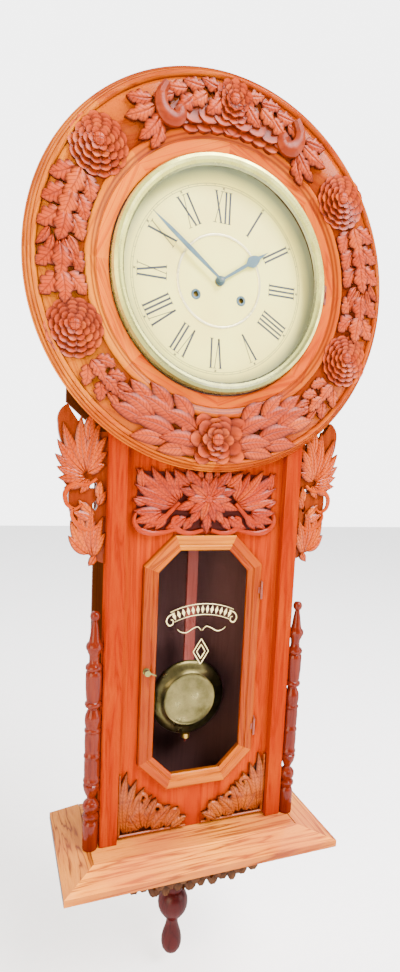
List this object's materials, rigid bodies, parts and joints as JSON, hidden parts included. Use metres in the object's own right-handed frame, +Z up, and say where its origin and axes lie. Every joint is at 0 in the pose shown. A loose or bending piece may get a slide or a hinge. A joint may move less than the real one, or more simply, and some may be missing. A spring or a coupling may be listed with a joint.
{
  "type": "pendulum wall clock",
  "caption": "Wall-hung pendulum clock: round carved head, brass bezel with roman dial, eight-sided glazed door, side brackets, turned columns, base shelf and drop finial.",
  "frame": {"origin": "centre of the hook hole in the hanger plate, on the wall plane", "axes": "+Z up along the case, +Y into the wall, +X to the right seen from the front"},
  "size_m": [0.4799, 0.1765, 1.245],
  "materials": {
    "case_wood": "gloss lacquer",
    "carved_wood": "gloss lacquer",
    "turned_wood": "gloss lacquer",
    "inner_wood": "matt stain",
    "rod_wood": "satin",
    "brass": "polished",
    "steel": "satin",
    "hand_paint": "satin",
    "dial_paint": "semi-gloss",
    "glass": "clear"
  },
  "bodies": {
    "case": {"back_board": "inner_wood", "hanger_plate": "steel", "head_boards": "case_wood", "trunk_side_left": "case_wood", "trunk_side_right": "case_wood", "pilaster_left": "case_wood", "pilaster_right": "case_wood", "front_stile_left": "case_wood", "front_stile_right": "case_wood", "front_rail_top": "case_wood", "front_rail_bottom": "case_wood", "head_ring": "carved_wood", "inner_ring": "case_wood", "ring_rosettes": "carved_wood", "ring_sprays": "carved_wood", "apron_carving": "carved_wood", "corner_carvings": "carved_wood", "side_bracket_left": "carved_wood", "side_bracket_right": "carved_wood", "column_left": "turned_wood", "column_right": "turned_wood", "base_board": "case_wood", "tail_carving": "carved_wood", "bottom_finial": "turned_wood", "dial_board": "inner_wood", "dial_plate": "dial_paint", "dial_trim_ring": "brass", "hinge_leaves": "brass", "movement_battens": "inner_wood", "front_plate": "brass", "back_plate": "brass", "plate_pillars": "brass", "gong": "steel", "suspension_cock": "brass"},
    "bezel": {"bezel_ring": "brass", "bezel_glass": "glass", "bezel_hinge_strap": "brass"},
    "door": {"door_frame": "case_wood", "door_glass": "glass", "door_hinge_straps": "brass"},
    "latch": {"door_latch": "brass"},
    "minute_arbor": {"centre_arbor": "brass", "cannon_pinion": "brass", "minute_hand": "hand_paint", "hand_nut": "brass"},
    "hour_arbor": {"hour_wheel": "brass", "hour_hand": "hand_paint"},
    "minute_wheel": {"minute_wheel": "brass"},
    "third_arbor": {"third_wheel": "brass"},
    "escape_arbor": {"escape_wheel": "brass"},
    "time_barrel": {"time_barrel": "brass"},
    "strike_barrel": {"strike_barrel": "brass"},
    "pin_arbor": {"pin_wheel": "brass"},
    "fly_arbor": {"fly": "brass"},
    "pallet_arbor": {"pallets": "steel"},
    "pendulum": {"pendulum_rod": "rod_wood", "suspension_spring": "steel", "pendulum_bob": "brass"},
    "rating_nut": {"rating_nut": "brass"},
    "hammer": {"strike_hammer": "steel"}
  },
  "joints": [
    {"name": "bezel_hinge", "type": "hinge", "parent": "case", "child": "bezel", "pos_m": [0.1434, -0.1187, -0.172], "axis": [0, 0, 1], "range_deg": [0, 110]},
    {"name": "door_hinge", "type": "hinge", "parent": "case", "child": "door", "pos_m": [0.08465, -0.1039, -0.6741], "axis": [0, 0, 1], "range_deg": [0, 110]},
    {"name": "latch_turn", "type": "hinge", "parent": "door", "child": "latch", "pos_m": [-0.0778, -0.1023, -0.6781], "axis": [0, 1, 0], "range_deg": [0, 155]},
    {"name": "minute_arbor_turn", "type": "hinge", "parent": "case", "child": "minute_arbor", "pos_m": [0, -0.1065, -0.172], "axis": [0, 1, 0], "continuous": true},
    {"name": "hour_arbor_turn", "type": "hinge", "parent": "case", "child": "hour_arbor", "pos_m": [0, -0.1065, -0.172], "axis": [0, 1, 0], "continuous": true},
    {"name": "minute_wheel_turn", "type": "hinge", "parent": "case", "child": "minute_wheel", "pos_m": [0, -0.0985, -0.1864], "axis": [0, 1, 0], "continuous": true},
    {"name": "third_arbor_turn", "type": "hinge", "parent": "case", "child": "third_arbor", "pos_m": [0.0152, -0.0865, -0.159], "axis": [0, 1, 0], "continuous": true},
    {"name": "escape_arbor_turn", "type": "hinge", "parent": "case", "child": "escape_arbor", "pos_m": [0, -0.0865, -0.14891], "axis": [0, 1, 0], "continuous": true},
    {"name": "time_barrel_turn", "type": "hinge", "parent": "case", "child": "time_barrel", "pos_m": [0.0309, -0.0865, -0.19157], "axis": [0, 1, 0], "continuous": true},
    {"name": "strike_barrel_turn", "type": "hinge", "parent": "case", "child": "strike_barrel", "pos_m": [-0.0309, -0.0865, -0.19157], "axis": [0, 1, 0], "continuous": true},
    {"name": "pin_arbor_turn", "type": "hinge", "parent": "case", "child": "pin_arbor", "pos_m": [-0.0309, -0.0865, -0.15499], "axis": [0, 1, 0], "continuous": true},
    {"name": "fly_arbor_turn", "type": "hinge", "parent": "case", "child": "fly_arbor", "pos_m": [-0.03888, -0.0865, -0.13998], "axis": [0, 1, 0], "continuous": true},
    {"name": "pendulum_swing", "type": "hinge", "parent": "case", "child": "pendulum", "pos_m": [0, -0.0495, -0.13], "axis": [0, 1, 0], "range_deg": [-4, 4]},
    {"name": "pallet_rock", "type": "hinge", "parent": "case", "child": "pallet_arbor", "pos_m": [0, -0.0865, -0.13], "axis": [0, 1, 0], "range_deg": [-4, 4]},
    {"name": "rating_nut_turn", "type": "hinge", "parent": "pendulum", "child": "rating_nut", "pos_m": [0, -0.0495, -0.801], "axis": [0, 0, 1], "continuous": true},
    {"name": "hammer_swing", "type": "hinge", "parent": "case", "child": "hammer", "pos_m": [-0.054, -0.0865, -0.164], "axis": [0, 1, 0], "range_deg": [0, 9], "stiffness_Nm_per_rad": 0.02, "springref_deg": -8.59}
  ],
  "couplings": [
    {"joint": "minute_arbor_turn", "follows": "escape_arbor_turn", "ratio": 0.015625},
    {"joint": "hour_arbor_turn", "follows": "escape_arbor_turn", "ratio": 0.0013021},
    {"joint": "minute_wheel_turn", "follows": "escape_arbor_turn", "ratio": -0.0052083},
    {"joint": "third_arbor_turn", "follows": "escape_arbor_turn", "ratio": -0.14062},
    {"joint": "time_barrel_turn", "follows": "escape_arbor_turn", "ratio": -0.0022321},
    {"joint": "pin_arbor_turn", "follows": "fly_arbor_turn", "ratio": -0.13333},
    {"joint": "strike_barrel_turn", "follows": "fly_arbor_turn", "ratio": 0.019048},
    {"joint": "pallet_rock", "follows": "pendulum_swing", "ratio": 1}
  ]
}
